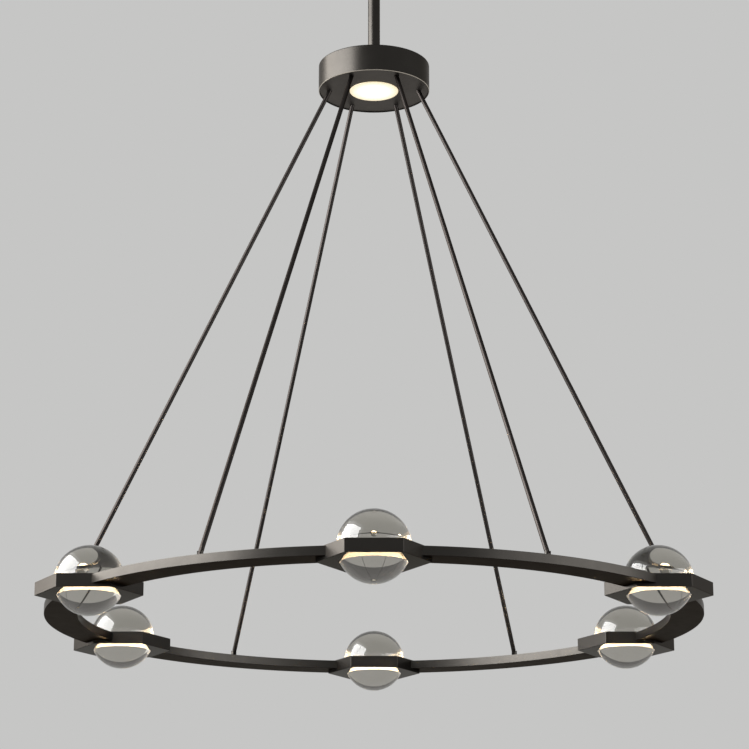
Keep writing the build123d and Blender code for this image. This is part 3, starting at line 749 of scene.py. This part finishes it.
rod = make_rod()
foot = make_foot()
head = Vector((ROD_HEAD_CIRCLE, 0, hanger_pin_z))
toe = Vector((ROD_FOOT_CIRCLE, 0, foot_pin_z))
lean = Matrix.Rotation((head - toe).angle(Vector((0, 0, 1))), 4, (0, -1, 0))
for number, angle in enumerate(rod_angles, start=1):
    turned = Matrix.Rotation(angle, 4, "Z")
    laid = turned @ Matrix.Translation(toe) @ lean
    stood = turned @ Matrix.Translation((ROD_FOOT_CIRCLE, 0, 0))
    tube = copy_of(rod, f"rod_tube_{number}", laid)
    dress(tube, rod_bronze, "rod_finish", "fixture", f"rod_{number}")
    post = copy_of(foot, f"foot_{number}", stood)
    dress(post, satin_bronze, "bronze_finish", "fixture", f"rod_foot_{number}")
for master in (rod, foot):
    bpy.data.objects.remove(master, do_unlink=True)


# ---------------------------------------------------------------- floor, light and camera
SURROUND = "#c6c6c5"
SURROUND_AS_LIGHT = 0.8  # of the brightness that is seen
FLOOR_SIZE = 160
FLOOR_Z = -2.75
FLOOR_LIFT = 0.28  # of its own tone, added where it is seen directly
CARD_MIDDLE = (0, -0.5, 0.15)
CARD_SIZE = (6.0, 4.0, 1)
LEFT_LAMPS_AIM = (0, -0.2, -0.5)
CAMERA_X = 0.0009
CAMERA_Y = -4.124
CAMERA_BELOW_ORBS = 0.763
CAMERA_RISE = 16.05  # degrees above level
SENSOR_MM = 36
LENS_MM = 116.34
CAMERA_REACH = 200


def seen_directly(tree):
    """1 for the rays of the camera and those that metal mirrors or glass passes, 0 for soft light."""
    path = add_node(tree, "ShaderNodeLightPath")
    sharp = add_node(
        tree,
        "ShaderNodeMath",
        {0: path.outputs["Is Glossy Ray"], 1: path.outputs["Is Transmission Ray"]},
        operation="MAXIMUM",
    )
    seen = add_node(
        tree,
        "ShaderNodeMath",
        {0: path.outputs["Is Camera Ray"], 1: sharp.outputs["Value"]},
        operation="MAXIMUM",
    )
    return seen.outputs["Value"]


def pale_world():
    """An even pale surround, as bright to the eye, the metal and the glass, and softer as a light."""
    world = bpy.data.worlds.new("pale_studio")
    world.use_nodes = True
    bpy.context.scene.world = world
    tree = world.node_tree
    tree.nodes.clear()
    seen = seen_directly(tree)
    soft = add_node(tree, "ShaderNodeBackground", {"Color": colour(SURROUND), "Strength": SURROUND_AS_LIGHT})
    shown = add_node(tree, "ShaderNodeBackground", {"Color": colour(SURROUND), "Strength": 1.0})
    both = add_node(
        tree, "ShaderNodeMixShader", {0: seen, 1: soft.outputs["Background"], 2: shown.outputs["Background"]}
    )
    add_node(tree, "ShaderNodeOutputWorld", {"Surface": both.outputs["Shader"]})


def softbox(name, place, target, width, height, power, only_shine=False):
    """A soft rectangular light that the camera doesn't see, or a shine card, which only lights
    what mirrors it."""
    lamp_data = bpy.data.lights.new(name, "AREA")
    lamp_data.shape = "RECTANGLE"
    lamp_data.size = width
    lamp_data.size_y = height
    lamp_data.energy = power
    lamp = bpy.data.objects.new(name, lamp_data)
    bpy.context.collection.objects.link(lamp)
    lamp.location = place
    lamp.rotation_euler = (Vector(target) - Vector(place)).to_track_quat("-Z", "Y").to_euler()
    lamp.visible_camera = False
    lamp.visible_transmission = not only_shine
    lamp.visible_diffuse = not only_shine


def make_floor():
    """A pale floor, open from below so that it never hides the part."""
    deselect()
    bpy.ops.mesh.primitive_plane_add(size=FLOOR_SIZE, location=(0, 0, FLOOR_Z))
    floor = finished("floor")
    # Matt painted boards: pale grey with a slow unevenness.
    material, tree, shader, where = new_finish("matt_painted_floor", {"Roughness": 0.9})
    _, tone = uneven_tone(tree, shader, where, patch_mm=700, detail=4.0, one="#cfcfcd", other="#d6d6d4")
    # What the eye, the metal and the glass see of it is lifted towards the surround's tone.
    lift = add_node(tree, "ShaderNodeMapRange", {"Value": seen_directly(tree), "To Max": FLOOR_LIFT})
    tree.links.new(tone, shader.inputs["Emission Color"])
    tree.links.new(lift.outputs["Result"], shader.inputs["Emission Strength"])
    clear = add_node(tree, "ShaderNodeBsdfTransparent")
    side = add_node(tree, "ShaderNodeNewGeometry")
    both = add_node(
        tree,
        "ShaderNodeMixShader",
        {0: side.outputs["Backfacing"], 1: shader.outputs["BSDF"], 2: clear.outputs["BSDF"]},
    )
    output = next(node for node in tree.nodes if node.type == "OUTPUT_MATERIAL")
    tree.links.new(both.outputs["Shader"], output.inputs["Surface"])
    floor.data.materials.append(material)


def make_grey_card():
    """A grey card above the part, seen only through the glass: it gives each ball its darker zone
    and with it the look of a solid lens."""
    deselect()
    bpy.ops.mesh.primitive_plane_add(size=1, location=CARD_MIDDLE)
    bpy.context.object.scale = CARD_SIZE
    card = finished("grey_card")
    # Matt grey card: mid grey, a little uneven.
    material, tree, shader, where = new_finish("matt_grey_card", {"Roughness": 0.9})
    uneven_tone(tree, shader, where, patch_mm=900, detail=3.0, one="#8c8a8c", other="#98969a")
    card.data.materials.append(material)
    card.visible_camera = False
    card.visible_diffuse = False
    card.visible_glossy = False
    card.visible_shadow = False


def make_camera():
    """The photograph's own viewpoint: a long lens below the ring, looking a little up."""
    camera = bpy.data.objects.new("camera", bpy.data.cameras.new("camera"))
    bpy.context.collection.objects.link(camera)
    camera.location = (CAMERA_X, CAMERA_Y, orb_z - CAMERA_BELOW_ORBS)
    camera.rotation_euler = (radians(90 + CAMERA_RISE), 0, 0)
    camera.data.sensor_width = SENSOR_MM
    camera.data.lens = LENS_MM
    camera.data.clip_end = CAMERA_REACH
    bpy.context.scene.camera = camera


pale_world()
# Places and sizes in metres, power in watts. The shine cards draw the highlights on the metal, and
# the panes light the rest of the part softly.
softbox(
    "key_left",
    place=(-2.3, -0.5, -0.05),
    target=LEFT_LAMPS_AIM,
    width=3.4,
    height=2.3,
    power=310,
    only_shine=True,
)
softbox("pane_left", place=(-2.35, -0.5, -0.05), target=LEFT_LAMPS_AIM, width=4.6, height=3.4, power=64)
softbox(
    "edge_right",
    place=(2.4, -1.3, -0.8),
    target=(0, -0.3, -1.2),
    width=2.8,
    height=1.2,
    power=26,
    only_shine=True,
)
softbox("pane_right", place=(2.4, -0.6, -0.9), target=(0, 0, -1.2), width=1.6, height=1.2, power=10)
make_floor()
make_grey_card()
make_camera()

bpy.context.scene.view_settings.view_transform = "Standard"
